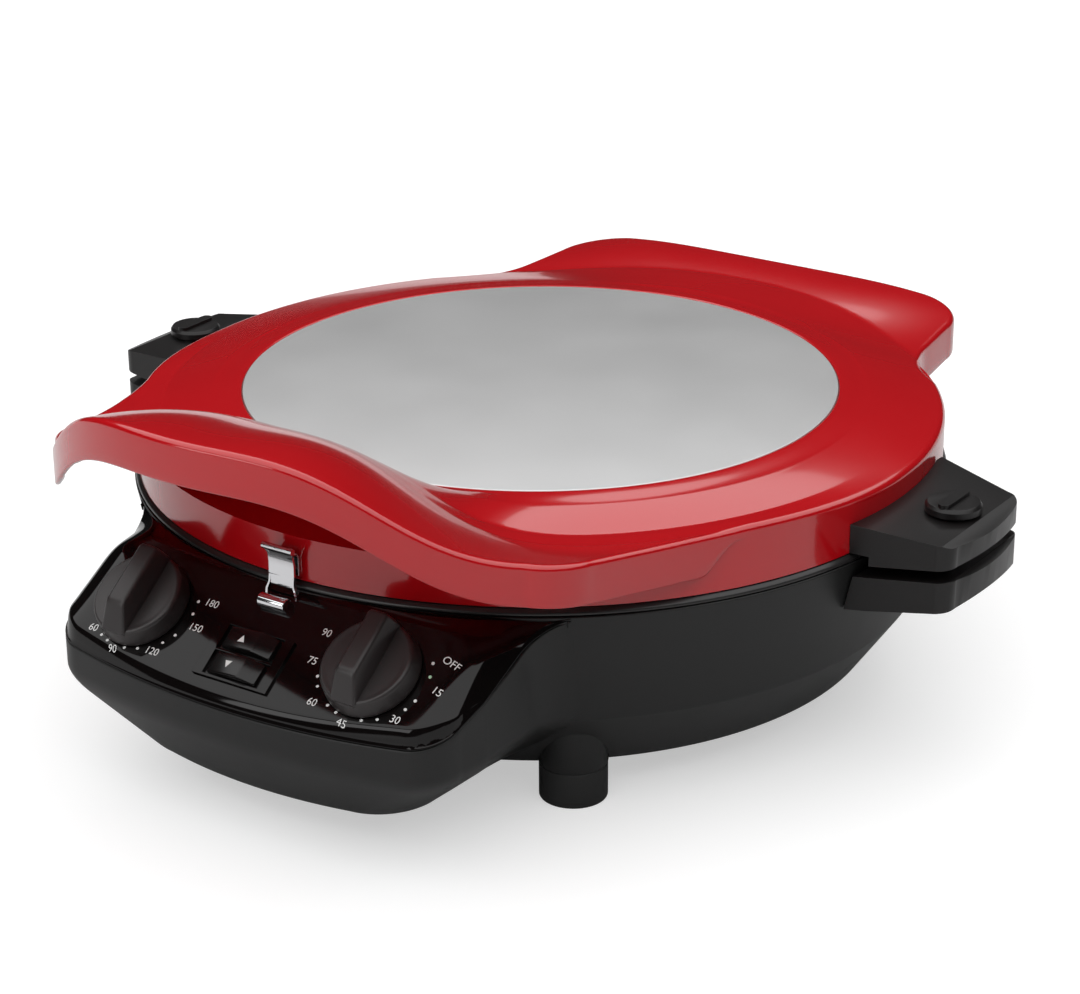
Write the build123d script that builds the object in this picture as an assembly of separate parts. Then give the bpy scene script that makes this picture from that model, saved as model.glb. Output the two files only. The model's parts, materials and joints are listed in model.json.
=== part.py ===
from build123d import *
from math import atan2, cos, degrees, exp, hypot, radians, sin, sqrt
import os

os.makedirs("parts", exist_ok=True)

# Driving sizes in mm: X to the right, Y to the back, Z up from the table.
# The shape is drawn about the middle of the round baking plates.
FOOT_H = 16.0
FOOT_R = 14.5
FOOT_X = 95.9
FOOT_Y = 117.7
WALL = 2.5
FIT = 0.15
RUNNING = 0.08
MOVING = 0.4

# Round base
BOWL_FOLD_Z = 45.0
BOWL_FOLD_R = 173.5
BOWL_FLOOR_R = 156.0
RIM_Z = 99.0
RIM_R = 185.0
TRIM_H = 3.0
SHELL_TOP = RIM_Z - TRIM_H - 0.2
LEDGE_Z = 92.5

# Control housing in front of the bowl
HOUSE_W = 102.5
HOUSE_FRONT = 228.6
PANEL_T = 2.5
PANEL_TOP = 96.3
PANEL_TILT = 36.5
PANEL_Y = -203.4
PANEL_Z = 81.5
PANEL_EDGE = 8.0

# Lid
LID_R = 181.5
LID_WALL = 2.5
LID_BOTTOM = RIM_Z + MOVING
LID_TOP = 130.0
DISC_R = 134.0
DISC_T = 2.0
SKIN_T = 2.3
HOOD_START_R = 136.0
LIP_ARC_Y = -102.0
LIP_ARC_R = 147.0
HOOD_RISE = 47.0
SKIRT_H = 18.0
BACK_Y = 212.0
POCKET_HALF_W = 118.0
COLLAR_R = 141.0
SHELF_Z = LID_TOP - 12.0

# Baking plates and heaters
PLATE_R = 155.0
LOWER_PLATE_Z = 78.0
UPPER_PLATE_Z = 110.0
PLATE_T = 4.5
HEATER_R = PLATE_R - 47.0
HEATER_TUBE = 3.5

# Knobs and switches on the panel
KNOB_X = 59.3
KNOB_V = -0.8
KNOB_R = 20.8
KNOB_RIM_H = 9.0
KNOB_H = 17.8
KNOB_BAR = 6.2
SPINDLE_R = 3.0
ROCKER_L = 26.6
ROCKER_W = 10.0
ROCKER_GAP = 0.5
ROCKER_V = (-4.6, -16.8)
ROCKER_LEAN = 7.0
ROCKER_PIVOT = 3.2
SWITCH_W = 38.0
SWITCH_V0 = -23.5
SWITCH_V1 = 1.5
SWITCH_DEPTH = 14.0

# Side handles with their turning locks
HANDLE_X = 223.0
HANDLE_BULGE = 3.0
LOCK_X = 206.5
LOCK_Y = 2.0
LOCK_R = 12.0
LOCK_SHANK_R = 3.0

# Hinge behind the lid
HINGE_Y = 197.0
HINGE_Z = 97.0
HINGE_X = 60.0
HINGE_R = 6.0
HINGE_PIN_R = 2.5
ARM_W = 11.2
EAR_W = 6.0

# Toggle latch in front
LATCH_PIN_Y = -188.0
LATCH_PIN_Z = 89.5
LOOP_PIN_Y = -187.0
LOOP_PIN_Z = 86.5
BARREL_Y = -192.0
BARREL_Z = 91.8
BARREL_R = 2.5
LOOP_X = 8.1
LOOP_T = 1.1
LOOP_BAR_Y = -188.4
LOOP_BAR_Z = 114.4
LOOP_BAR_R = 1.4
LOOP_PIN_R = 0.8
BARREL_X = 6.8
POCKET_RIGHT = 24.5

# The frame's origin sits under the middle of the whole object.
FRONT_Y = LIP_ARC_Y - LIP_ARC_R
Y_MID = (FRONT_Y + BACK_Y) / 2
FRAME = Pos(0, -Y_MID, 0)


def put(node, *pieces):
    moved = [FRAME * solid for piece in pieces for solid in piece.solids()]
    whole = moved[0] if len(moved) == 1 else Compound(moved)
    export_step(whole, "parts/" + node + ".step")


def turned(*points):
    return revolve(Plane.XZ * Polygon(*points, align=None), Axis.Z)


def ring(inner, outer, low, high):
    return extrude(Pos(0, 0, low) * (Circle(outer) - Circle(inner)), high - low)


def disc(radius, low, high, x=0.0, y=0.0):
    return extrude(Pos(x, y, low) * Circle(radius), high - low)


def block(x0, x1, y0, y1, z0, z1):
    size = Box(x1 - x0, y1 - y0, z1 - z0)
    return Pos((x0 + x1) / 2, (y0 + y1) / 2, (z0 + z1) / 2) * size


def side_plate(x0, x1, outline):
    return Pos(x0, 0, 0) * extrude(Plane.YZ * outline, x1 - x0)


def rod_x(radius, x0, x1, y, z):
    return side_plate(x0, x1, Pos(y, z) * Circle(radius))


def mirrored(solid):
    return mirror(solid, about=Plane.YZ)


def smooth(value):
    part = min(max(value, 0.0), 1.0)
    return part * part * (3 - 2 * part)


# Height of the lid's outer skin: a shallow dome, a hood that swells to an
# arched lip in front, and a wing behind.
def lid_height(x, y):
    r = hypot(x, y)
    fall = min(max(0.0, (r - 148) / 33.5), 1.0)
    dome = LID_TOP - 1.4 * smooth((r - DISC_R) / 16) - 6.2 * fall ** 1.1
    if y > 0:
        return dome + 7.5 * exp(-(abs(x) / 104) ** 5) * smooth((y - 132) / 60)
    flank = dome + 11.0 * max(0.0, (r - 170) / 52) ** 0.9 * smooth(-y / 86)
    start = -sqrt(max(HOOD_START_R ** 2 - x * x, 0.0))
    lip = LIP_ARC_Y - sqrt(max(LIP_ARC_R ** 2 - x * x, 0.0))
    t = (start - y) / (start - lip)
    t = min(max(t, 0.0), 1.15)
    width = 50 + 40.3 * t
    power = 2.5 + 1.5 * t
    mid = exp(-(abs(x) / width) ** power)
    swell = 1 - max(1 - t, 0.0) ** 2.4
    if t <= 0:
        return dome
    return (1 - mid) * flank + mid * (LID_TOP - 1 + 4.5 * t) + HOOD_RISE * mid * swell


# Height of the glossy panel: flat in the middle, level behind, and rounded
# down to the top edge of the housing's wall all round.
def panel_height(x, y):
    slope = PANEL_Z + 0.74 * (y - PANEL_Y)
    flat = -1.6 * log_sum(-PANEL_TOP / 1.6, -slope / 1.6)
    edge = 60 + 0.4515 * (y + 222) + 0.1 * max(0.0, -205 - y)
    half = HOUSE_W - 0.3
    if y > -190:
        half += 10 * ((y + 190) / 42) ** 2
    side = min((abs(x) / half) ** 16, 1.2)
    across = min(abs(x), 100.0)
    front = across ** 2 / 910 - HOUSE_FRONT
    front += 16.5 - sqrt(16.5 ** 2 - max(across - 84, 0.0) ** 2)
    near = 1 - (y - front) / PANEL_EDGE
    roll = min(near, 1.2) ** 2 if near > 0 else 0.0
    return edge + (flat - edge) * (1 - side) * (1 - roll)


def log_sum(a, b):
    top = max(a, b)
    return top + log1(exp(a - top) + exp(b - top))


def log1(value):
    # Natural logarithm of a value between one and two
    s = (value - 1) / (value + 1)
    return 2 * (s + s ** 3 / 3 + s ** 5 / 5 + s ** 7 / 7)


def skin_face(height, x_half, y0, y1, nx, ny):
    rows = []
    for i in range(nx):
        x = -x_half + 2 * x_half * i / (nx - 1)
        rows.append([Vector(x, y, height(x, y)) for y in
                     [y0 + (y1 - y0) * j / (ny - 1) for j in range(ny)]])
    return Face.make_surface_from_array_of_points(rows, tol=0.25, min_deg=3)


def under(face, gap, depth):
    return extrude(Pos(0, 0, -gap) * face, depth, dir=(0, 0, -1))


# Lid plan
front_wing = make_face([
    Line((-159.5, -85), (159.5, -85)),
    ThreePointArc((159.5, -85), (145.5, -124), (135, -162)),
    ThreePointArc((135, -162), (130.5, -176), (120, -187)),
    ThreePointArc((120, -187), (0, FRONT_Y), (-120, -187)),
    ThreePointArc((-120, -187), (-130.5, -176), (-135, -162)),
    ThreePointArc((-135, -162), (-145.5, -124), (-159.5, -85)),
])
back_wing = make_face([
    Line((142, 111), (-142, 111)),
    ThreePointArc((-142, 111), (-123.5, 132), (-115, 158)),
    Line((-115, 158), (-112, 184)),
    ThreePointArc((-112, 184), (-104.5, 203), (-86, BACK_Y)),
    Line((-86, BACK_Y), (86, BACK_Y)),
    ThreePointArc((86, BACK_Y), (104.5, 203), (112, 184)),
    Line((112, 184), (115, 158)),
    ThreePointArc((115, 158), (123.5, 132), (142, 111)),
])
lid_plan = Circle(LID_R) + front_wing + back_wing

# Housing plan
house_plan = make_face([
    Line((-106, -120), (106, -120)),
    Line((106, -120), (112.5, -145)),
    ThreePointArc((112.5, -145), (104.6, -163.8), (HOUSE_W, -190)),
    Line((HOUSE_W, -190), (100.5, -202.5)),
    ThreePointArc((100.5, -202.5), (96.5, -214), (86, -220.5)),
    ThreePointArc((86, -220.5), (0, -HOUSE_FRONT), (-86, -220.5)),
    ThreePointArc((-86, -220.5), (-96.5, -214), (-100.5, -202.5)),
    Line((-100.5, -202.5), (-HOUSE_W, -190)),
    ThreePointArc((-HOUSE_W, -190), (-104.6, -163.8), (-112.5, -145)),
    Line((-112.5, -145), (-106, -120)),
])
house_foot = make_face([
    Line((-71, -120), (71, -120)),
    Line((71, -120), (70.5, -140)),
    ThreePointArc((70.5, -140), (69.6, -155), (69.5, -170)),
    Line((69.5, -170), (69, -180)),
    ThreePointArc((69, -180), (62.5, -198), (46, -206.5)),
    ThreePointArc((46, -206.5), (0, -211.5), (-46, -206.5)),
    ThreePointArc((-46, -206.5), (-62.5, -198), (-69, -180)),
    Line((-69, -180), (-69.5, -170)),
    ThreePointArc((-69.5, -170), (-69.6, -155), (-70.5, -140)),
    Line((-70.5, -140), (-71, -120)),
])
lid_face = skin_face(lid_height, 196, -262, 226, 45, 55)
panel_face = skin_face(panel_height, 118, -232, -138, 33, 29)
panel_plane = Plane(
    origin=(0, PANEL_Y, PANEL_Z),
    x_dir=(1, 0, 0),
    z_dir=(0, -sin(radians(PANEL_TILT)), cos(radians(PANEL_TILT))),
)
knob_places = {"temperature": -KNOB_X, "timer": KNOB_X}


def on_panel(solid, u=0.0, v=0.0):
    return panel_plane.location * Pos(u, v, 0) * solid


# Bowl and housing
def bowl(grow, top=SHELL_TOP):
    slope = (RIM_R - BOWL_FOLD_R) / (RIM_Z - 2 - BOWL_FOLD_Z)
    top_r = BOWL_FOLD_R + slope * (top - BOWL_FOLD_Z)
    return turned(
        (0, FOOT_H), (BOWL_FLOOR_R - 2.8 + grow, FOOT_H),
        (BOWL_FOLD_R + grow, BOWL_FOLD_Z), (top_r + grow, top), (0, top),
    )


def housing(inset):
    upper = offset(house_plan, -inset) if inset else house_plan
    lower = offset(house_foot, -inset) if inset else house_foot
    foot = loft([Pos(0, 0, FOOT_H) * lower.face(), Pos(0, 0, BOWL_FOLD_Z) * upper.face()])
    return foot + extrude(Pos(0, 0, BOWL_FOLD_Z) * upper, 70)


feet_xy = [(sx * FOOT_X, sy * FOOT_Y) for sx in (-1, 1) for sy in (-1, 1)]
post_xy = [(143 * cos(radians(a)), 143 * sin(radians(a))) for a in (0, 90, 180, 212, 328)]
bowl_out = bowl(0)
house_low = housing(0) & under(panel_face, PANEL_T + FIT, 90)
shell = bowl_out + house_low - bowl(-WALL, SHELL_TOP + 1) - housing(WALL)
shell += ring(174, RIM_R - 0.4, LEDGE_Z - 2.5, LEDGE_Z)
shell += ring(RIM_R - 2.8, RIM_R - 0.4, LEDGE_Z, SHELL_TOP)
for x, y in feet_xy:
    boss = disc(FOOT_R + 0.5, FOOT_H, 38, x, y)
    boss -= disc(FOOT_R - 2, FOOT_H + 3, 38, x, y) & bowl(-WALL)
    shell += boss
    shell -= disc(2.2, 0, 60, x, y)
for x, y in post_xy:
    turn = degrees(atan2(y, x))
    post = disc(4.5, FOOT_H + 2.6, 46, x, y)
    post += Pos(0, 0, 32.3) * Rot(0, 0, turn) * block(143, 178, -1.5, 1.5, -13.7, 13.7)
    shell += post & bowl(-0.5)
    shell -= disc(1.6, 0, 40, x, y)

handle_screw_y = (-16, 24)
UPPER_SCREW_Z = 108.5
LOWER_SCREW_Z = 85.0
for y in handle_screw_y:
    hole = rod_x(2.1, 165, 200, y, LOWER_SCREW_Z)
    shell -= hole + mirrored(hole)

# Cable gland at the back of the bowl, low down
gland_turn = 62
gland_axis = Rot(0, 0, gland_turn) * Pos(0, 0, 41) * Rot(0, 90, 0)
shell -= gland_axis * Pos(0, 0, 170) * Cylinder(7.15, 30)
gland = gland_axis * (Pos(0, 0, 171.5) * Cylinder(7, 15) + Pos(0, 0, 177) * Cylinder(10, 6))
gland -= bowl(FIT, SHELL_TOP) & gland_axis * (Pos(0, 0, 172) * (Cylinder(12, 16) - Cylinder(7, 16)))
gland -= gland_axis * Pos(0, 0, 170) * Cylinder(3.5, 50)
put("cord_gland", gland)

# Trim ring that clamps the inner pan on the ledge of the shell
trim = ring(177, RIM_R, SHELL_TOP + 0.2, RIM_Z) + ring(177, 181.5, LEDGE_Z + 1.3, SHELL_TOP + 1)
put("rim_trim", trim)

liner = turned(
    (0, 54), (172.6, 54), (172.6, LEDGE_Z + 0.1), (181.3, LEDGE_Z + 0.1),
    (181.3, LEDGE_Z + 1.1), (171.6, LEDGE_Z + 1.1), (171.6, 55), (0, 55),
)
for u in (-20, 20):
    liner -= block(u - 5, u + 5, -180, -165, 63, 73)
put("base_inner_pan", liner)

# Baking plates: shallow pans that face each other
lower_plate = turned(
    (0, LOWER_PLATE_Z - PLATE_T), (PLATE_R - 2, LOWER_PLATE_Z - PLATE_T),
    (PLATE_R + 9, LEDGE_Z + 1.4), (176.4, LEDGE_Z + 1.4), (176.4, RIM_Z - 1.2),
    (PLATE_R + 9, RIM_Z - 1.2), (PLATE_R, LOWER_PLATE_Z), (0, LOWER_PLATE_Z),
)
put("lower_baking_plate", lower_plate)
upper_plate = disc(PLATE_R - 4, UPPER_PLATE_Z, UPPER_PLATE_Z + 3.6)
put("upper_baking_plate", upper_plate)

# Pressed rim ring that holds the upper plate in the lid
plate_rim = turned(
    (PLATE_R - 4, UPPER_PLATE_Z), (PLATE_R + 5, RIM_Z + 3),
    (176.6, RIM_Z + 3), (176.6, RIM_Z + 5.5), (PLATE_R + 7, RIM_Z + 5.5),
    (PLATE_R - 1, UPPER_PLATE_Z + 3.6), (PLATE_R - 4, UPPER_PLATE_Z + 3.6),
)
put("upper_plate_rim", plate_rim)


# Heater tubes bent into an open ring, the ends brought out to the front
def heater(z, ends_to):
    gap = 12
    half_open = degrees(atan2(gap, HEATER_R))
    tube = revolve(Plane.XZ * Pos(HEATER_R, z) * Circle(HEATER_TUBE), Axis.Z, 360 - 2 * half_open)
    bent = Rot(0, 0, -90 + half_open) * tube
    y_end = -HEATER_R * cos(radians(half_open)) + HEATER_TUBE
    for s in (-1, 1):
        leg = Plane(origin=(s * gap, y_end, z), z_dir=(0, -1, 0)) * Circle(HEATER_TUBE + 0.3)
        bent += extrude(leg, y_end - ends_to)
    return bent


lower_heater_z = LOWER_PLATE_Z - PLATE_T - HEATER_TUBE - 0.45
upper_heater_z = UPPER_PLATE_Z + 3.6 + HEATER_TUBE + 0.45
put("lower_heating_element", heater(lower_heater_z, -150))
put("upper_heating_element", heater(upper_heater_z, -(PLATE_R - 30)))


def heater_clips(z, side, seat):
    clips = []
    for angle in (30, 150, 210, 330):
        clip = block(HEATER_R - 9, HEATER_R + 9, -5, 5, z - HEATER_TUBE - 1.3, z + HEATER_TUBE + 1.3)
        clip &= block(0, 200, -9, 9, min(z, seat), max(z, seat)) + Pos(
            HEATER_R, 0, z) * Rot(90, 0, 0) * Cylinder(HEATER_TUBE + 1.3, 20)
        clip -= Pos(HEATER_R, 0, z) * Rot(90, 0, 0) * Cylinder(HEATER_TUBE + 0.25, 30)
        clip &= block(0, 200, -9, 9, z - HEATER_TUBE - 1.3 if side < 0 else z - HEATER_TUBE + 0.1,
                      z + HEATER_TUBE - 0.1 if side < 0 else z + HEATER_TUBE + 1.3)
        clips.append(Rot(0, 0, angle) * clip)
    return clips


put("lower_heater_clips", *heater_clips(lower_heater_z, -1, lower_heater_z + HEATER_TUBE))
put("upper_heater_clips", *heater_clips(upper_heater_z, 1, upper_heater_z - HEATER_TUBE))

# Bottom cover with slots for air
cover_plan = Circle(BOWL_FLOOR_R - 2.8 - WALL - 0.3) + offset(house_foot, -WALL - 0.4)
cover = extrude(Pos(0, 0, FOOT_H + 0.1) * cover_plan, 2.2)
for x, y in feet_xy:
    cover -= disc(FOOT_R + 1, 0, 40, x, y)
for x, y in post_xy:
    cover -= disc(1.9, 0, 40, x, y)
for row in (-45, -30, -15, 15, 30, 45):
    cover -= Pos(0, row, FOOT_H) * extrude(SlotOverall(70, 4), 10)
put("bottom_cover", cover)
cover_screws = []
for x, y in post_xy:
    cover_screws.append(disc(3.2, FOOT_H - 1.9, FOOT_H, x, y) + disc(1.5, FOOT_H - 1, FOOT_H + 14, x, y))
put("cover_screws", *cover_screws)

# Feet: rubber, wider at the ground, screwed up into the bosses
foot_names = {(-1, -1): "foot_front_left", (-1, 1): "foot_back_left",
              (1, -1): "foot_front_right", (1, 1): "foot_back_right"}
foot_screws = []
for (sx, sy), name in foot_names.items():
    foot = turned(
        (2.3, 0.8), (2.3, FOOT_H - 0.1), (FOOT_R - 1.6, FOOT_H - 0.1),
        (FOOT_R, 1.8), (FOOT_R - 1.8, 0), (8, 0), (6, 0.8),
    )
    foot -= disc(5, 0, 7)
    x, y = sx * FOOT_X, sy * FOOT_Y
    put(name, Pos(x, y, 0) * foot)
    foot_screws.append(disc(4.4, 4.8, 6.9, x, y) + disc(2.0, 6, 27, x, y))
put("foot_screws", *foot_screws)

# Glossy control panel with its latch pocket, knob holes and switch window
panel = under(panel_face, 0, PANEL_T) & extrude(Pos(0, 0, 30) * house_plan, 90)
panel -= disc(RIM_R + 0.3, 0, 140)
tray = block(-13, POCKET_RIGHT + 2, -198, -184, 81.5, 94) & under(panel_face, 1, 60)
panel += tray - disc(RIM_R + 0.3, 0, 140)
panel -= block(-11, 11, -196, -180, 83.7, 120) + block(9, POCKET_RIGHT, -192.3, -180, 83.7, 120)
panel -= on_panel(block(-SWITCH_W / 2 - 0.2, SWITCH_W / 2 + 0.2, SWITCH_V0 - 0.2, SWITCH_V1 + 0.2, -30, 12))
for x in knob_places.values():
    panel -= on_panel(Cylinder(5.2, 30), x, KNOB_V)
put("control_panel", panel)
shell -= on_panel(block(-SWITCH_W / 2 - 0.3, SWITCH_W / 2 + 0.3, SWITCH_V0 - 0.3, SWITCH_V1 + 0.3, -16, 12))
put("base_shell", shell)

# Knobs on spindles: a round skirt and a grip bar that slopes to a pointer
bar_section = Polygon((-KNOB_BAR, 5), (KNOB_BAR, 5), (KNOB_BAR, KNOB_RIM_H), (KNOB_BAR - 1.6, KNOB_H),
                      (1.6 - KNOB_BAR, KNOB_H), (-KNOB_BAR, KNOB_RIM_H), align=None)
bar_side = Polygon((KNOB_R - 0.8, 5), (KNOB_R - 1.3, KNOB_H - 2), (KNOB_R - 3, KNOB_H), (-10, KNOB_H),
                   (1.2 - KNOB_R, KNOB_RIM_H), (1.2 - KNOB_R, 5), align=None)
grip_bar = extrude(Plane.XZ * bar_section, 30, both=True) & side_plate(-10, 10, bar_side)
grip_bar &= disc(KNOB_R - 0.7, 0, 30)
for name, x in knob_places.items():
    body = turned((0, 0.6), (KNOB_R, 0.6), (KNOB_R, 1.6), (KNOB_R - 1.0, KNOB_RIM_H - 0.9),
                  (KNOB_R - 1.9, KNOB_RIM_H), (KNOB_R - 4, KNOB_RIM_H - 0.2), (0, KNOB_RIM_H - 0.6))
    body += grip_bar
    body -= disc(SPINDLE_R + 0.03, 0, 9)
    put(name + "_knob", on_panel(body, x, KNOB_V))
    put(name + "_spindle", on_panel(disc(SPINDLE_R, -24, 8.9), x, KNOB_V))
    gear = block(-17, 17, -17, 17, -28, -PANEL_T - 4.5) + disc(4.9, -10, 0.3)
    gear -= disc(SPINDLE_R + RUNNING, -24.5, 5)
    mechanism = "thermostat" if name == "temperature" else "timer_mechanism"
    put(mechanism, on_panel(gear, x, KNOB_V))

# Twin switch block with two rockers
frame = block(-SWITCH_W / 2, SWITCH_W / 2, SWITCH_V0, SWITCH_V1, -SWITCH_DEPTH, 1.2)
hole_l = ROCKER_L / 2 + ROCKER_GAP + 0.5
hole_w = ROCKER_W / 2 + ROCKER_GAP
rocker_names = ("rocker_upper", "rocker_lower")
for name, v in zip(rocker_names, ROCKER_V):
    frame -= block(-hole_l, hole_l, v - hole_w, v + hole_w, -SWITCH_DEPTH + 1.5, 5)
    profile = Polygon((-ROCKER_L / 2, -2.6), (-9, -6.5), (9, -6.5), (ROCKER_L / 2, -2.6),
                      (ROCKER_L / 2, 2.2), (0, 0.9), (-ROCKER_L / 2, 2.2), align=None)
    rocker = extrude(Plane.XZ * profile, ROCKER_W / 2, both=True)
    rocker += Pos(0, 0, -ROCKER_PIVOT) * Rot(90, 0, 0) * Cylinder(1.4, ROCKER_W + 1.6)
    rocker = Pos(0, 0, -ROCKER_PIVOT) * Rot(0, -ROCKER_LEAN, 0) * Pos(0, 0, ROCKER_PIVOT) * rocker
    frame -= Pos(0, v, -ROCKER_PIVOT) * Rot(90, 0, 0) * Cylinder(1.4 + RUNNING, ROCKER_W + 2)
    put(name, on_panel(rocker, 0, v))
put("switch_frame", on_panel(frame))
contacts = block(-16, 16, SWITCH_V0 + 2.5, SWITCH_V1 - 2.5, -SWITCH_DEPTH - 9, -SWITCH_DEPTH - 0.1)
put("switch_contacts", on_panel(contacts))

# Terminal block on the bottom cover
terminals = block(-16, 16, -184, -172, FOOT_H + 2.4, FOOT_H + 16)
for u in (-10, 0, 10):
    terminals -= Pos(u, -178, FOOT_H + 12) * Rot(90, 0, 0) * Cylinder(2.5, 20)
put("terminal_block", terminals)

# Lid cover: skin with hood and skirts, and a seat for the round plate on top
whole_lid = extrude(Pos(0, 0, 60) * lid_plan, 160)
cover_skin = (under(lid_face, 0, SKIN_T) & whole_lid) - disc(DISC_R + 0.2, 100, 200)
skirt_core = extrude(Pos(0, 0, 60) * offset(lid_plan, -SKIN_T), 160)
skirt = (under(lid_face, 1.0, SKIRT_H - 1.0) & (whole_lid - skirt_core)) - disc(LID_R + 0.3, 60, 220)
cover_skin += skirt
seat = ring(DISC_R - 7, DISC_R + 1.5, LID_TOP - DISC_T - 2, LID_TOP - DISC_T - 0.1)
cover_skin += seat
put("lid_cover", cover_skin)
put("top_disc", disc(DISC_R, LID_TOP - DISC_T, LID_TOP))

# Lid ring: upright wall, shelf and collar that close the lid under the hood
below_skin = under(lid_face, SKIN_T + FIT, 60)
lid_ring = ring(LID_R - LID_WALL, LID_R, LID_BOTTOM, SHELF_Z)
upper_wall = ring(LID_R - LID_WALL, LID_R, SHELF_Z - 0.5, LID_TOP + 20) & below_skin
mouth = block(-POCKET_HALF_W, POCKET_HALF_W, -262, -40, SHELF_Z, 200)
lid_ring += upper_wall - mouth
shelf = ring(COLLAR_R - 2, LID_R - 0.5, SHELF_Z - 2.2, SHELF_Z)
lid_ring += shelf & block(-POCKET_HALF_W - 2, POCKET_HALF_W + 2, -262, -40, 90, 200)
collar = ring(COLLAR_R - 2, COLLAR_R, SHELF_Z - 1, LID_TOP + 20)
for s in (-1, 1):
    wall = block(POCKET_HALF_W, POCKET_HALF_W + 2, -150, -74, SHELF_Z - 1, LID_TOP + 20)
    wall = wall if s > 0 else mirrored(wall)
    collar += wall - disc(COLLAR_R - 2, 90, LID_TOP + 30) & disc(LID_R - 1, 90, LID_TOP + 30)
collar &= block(-POCKET_HALF_W - 2, POCKET_HALF_W + 2, -262, -74, 90, 200)
lid_ring += collar & below_skin
for y in handle_screw_y:
    lid_ring -= rod_x(2.1, -190, 190, y, UPPER_SCREW_Z)
put("lid_ring", lid_ring)

heat_shield = turned(
    (0, 124.4), (PLATE_R - 22, 124.4), (PLATE_R - 22, 114.6), (178.6, 114.6), (178.6, RIM_Z + 3),
    (177.4, RIM_Z + 3), (177.4, 113.6), (PLATE_R - 23, 113.6), (PLATE_R - 23, 123.4), (0, 123.4),
)
for u in (-12, 12):
    heat_shield -= block(u - 5, u + 5, -(PLATE_R - 15), -(PLATE_R - 35), 113.7, 121.3)
for y in handle_screw_y:
    heat_shield -= rod_x(2.1, -190, 190, y, UPPER_SCREW_Z)
put("lid_heat_shield", heat_shield)

# Side handles: an upper one on the lid, a lower one on the bowl
handle_plan = make_face([
    Line((165, -36), (HANDLE_X - 7, -33.5)),
    ThreePointArc((HANDLE_X - 7, -33.5), (HANDLE_X - 1.6, -31.2), (HANDLE_X, -26)),
    ThreePointArc((HANDLE_X, -26), (HANDLE_X + HANDLE_BULGE, 2), (HANDLE_X, 28)),
    ThreePointArc((HANDLE_X, 28), (HANDLE_X - 2.4, 32.6), (HANDLE_X - 7.5, 35.5)),
    Line((HANDLE_X - 7.5, 35.5), (165, 58)),
    Line((165, 58), (165, -36)),
])
tip_x = HANDLE_X + HANDLE_BULGE
upper_side = Polygon((175, 112.5), (tip_x - 7, 111.1), (tip_x, 108.6), (tip_x, 101.4), (tip_x - 5, 100.4),
                     (187, 95.4), (187, 99.6), (175, 99.6), align=None)
lower_side = Polygon((165, 87.6), (187, 90.2), (tip_x - 4, 95.2), (tip_x, 93.8), (tip_x, 83.6),
                     (tip_x - 4, 81.8), (187, 75.2), (165, 72), align=None)
handle_block = extrude(handle_plan, 160)
upper_handle = handle_block & extrude(Plane.XZ * upper_side, 80, both=True)
upper_handle -= disc(LID_R + FIT, 60, 200)
upper_handle -= disc(LOCK_SHANK_R + RUNNING, 60, 200, LOCK_X, LOCK_Y)
lower_handle = handle_block & extrude(Plane.XZ * lower_side, 80, both=True)
lower_handle -= bowl(FIT, SHELL_TOP + 1)
tongue_plan = Pos(LOCK_X, LOCK_Y) * Rectangle(7.4, 17)
lower_handle -= extrude(Pos(0, 0, 80) * tongue_plan, 40)
lower_handle -= disc(8.4, 81.6, 89.6, LOCK_X, LOCK_Y)
for y in handle_screw_y:
    upper_handle -= rod_x(1.7, 170, 198, y, UPPER_SCREW_Z)
    lower_handle -= rod_x(1.7, 170, 198, y, LOWER_SCREW_Z)
lock = disc(LOCK_R, 112.6, 115.2, LOCK_X, LOCK_Y)
lock += Pos(LOCK_X, LOCK_Y, 115.2) * extrude(Circle(LOCK_R), 1.4, taper=35)
grip = extrude(Pos(LOCK_X, LOCK_Y, 115) * SlotOverall(22.5, 5.4, rotation=90), 3.2)
lock += grip & disc(LOCK_R - 0.5, 100, 130, LOCK_X, LOCK_Y)
lock -= disc(LOCK_SHANK_R + 0.03, 100, 115.2, LOCK_X, LOCK_Y)
shank = disc(LOCK_SHANK_R, 84, 115.1, LOCK_X, LOCK_Y)
shank += extrude(Pos(LOCK_X, LOCK_Y, 83) * (Rectangle(5, 12.6) & Circle(6.3)), 4)


# A pan-head screw driven outwards against the inside of a round wall
def wall_screw(wall_r, y, z, length):
    head = sqrt(wall_r ** 2 - (abs(y) + 3.4) ** 2) - 0.15
    return rod_x(3.4, head - 2.2, head, y, z) + rod_x(1.6, head - 1, head + length, y, z)


upper_screws = [wall_screw(177.4, y, UPPER_SCREW_Z, 19) for y in handle_screw_y]
lower_screws = [wall_screw(179.0, y, LOWER_SCREW_Z, 17) for y in handle_screw_y]
for side in ("left", "right"):
    turn = mirrored if side == "left" else (lambda solid: solid)
    put("upper_handle_" + side, turn(upper_handle))
    put("lower_handle_" + side, turn(lower_handle))
    put("handle_lock_" + side, turn(lock))
    put("handle_lock_shank_" + side, turn(shank))
    put("upper_handle_screws_" + side, *[turn(screw) for screw in upper_screws])
    put("lower_handle_screws_" + side, *[turn(screw) for screw in lower_screws])

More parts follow.
